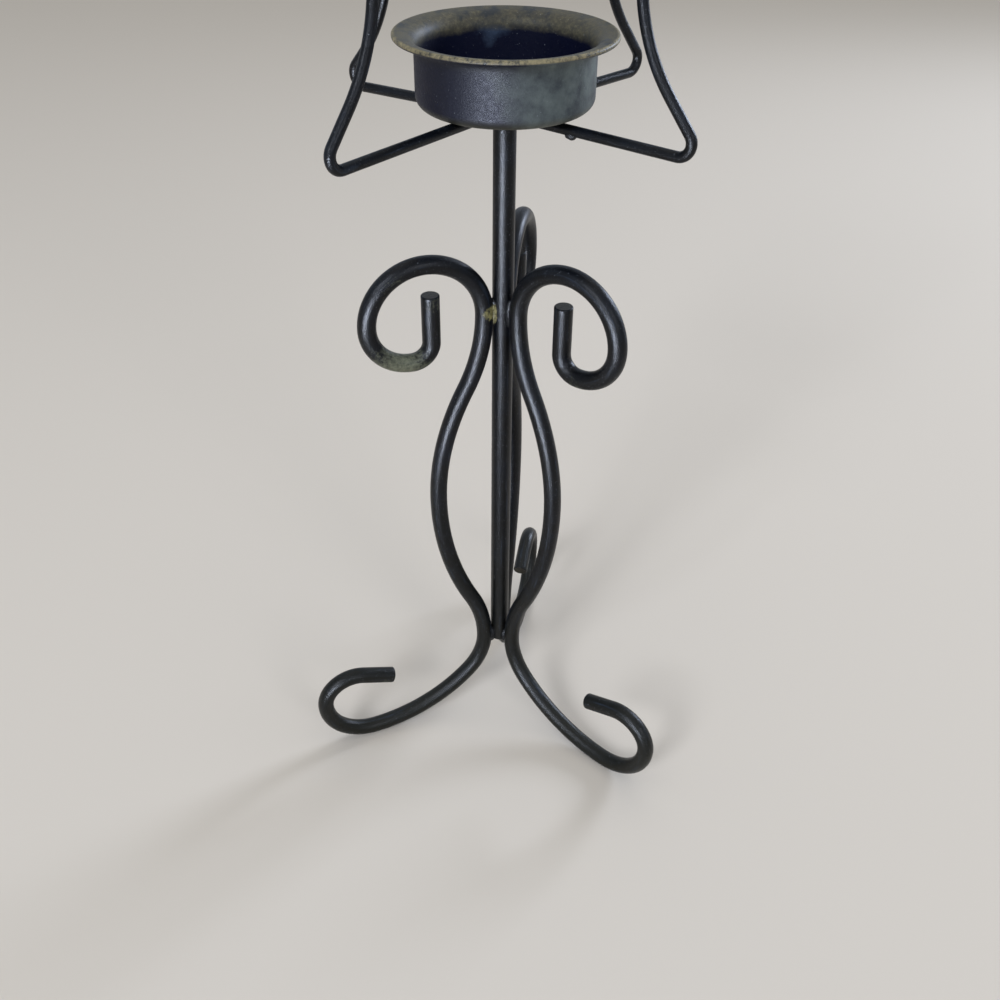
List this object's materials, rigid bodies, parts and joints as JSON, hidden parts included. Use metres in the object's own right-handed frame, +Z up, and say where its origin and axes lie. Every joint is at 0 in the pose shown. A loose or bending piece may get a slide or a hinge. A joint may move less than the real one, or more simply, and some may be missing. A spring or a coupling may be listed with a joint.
{
  "type": "tealight candle holder",
  "caption": "Scroll-legged wire stand with curled feet, carrying a shallow cup with a flared rim for a tealight under an open cage of crossed wire hoops.",
  "frame": {"origin": "on the table that the feet stand on, on the axis of the post", "axes": "+Z up along the post and the axis of the cup; -Y to the front of the holder"},
  "size_m": [0.1051, 0.1067, 0.3062],
  "materials": {
    "painted_wire": "satin",
    "painted_sheet": "satin",
    "weld_metal": "rough"
  },
  "bodies": {
    "root": {"post": "painted_wire", "leg_back": "painted_wire", "leg_left": "painted_wire", "leg_right": "painted_wire", "hoop_upper": "painted_wire", "hoop_lower": "painted_wire", "cup": "painted_sheet", "shoulder_welds": "weld_metal", "waist_welds": "weld_metal", "hub_weld": "weld_metal", "butt_weld": "weld_metal", "cup_welds": "weld_metal"}
  },
  "joints": []
}
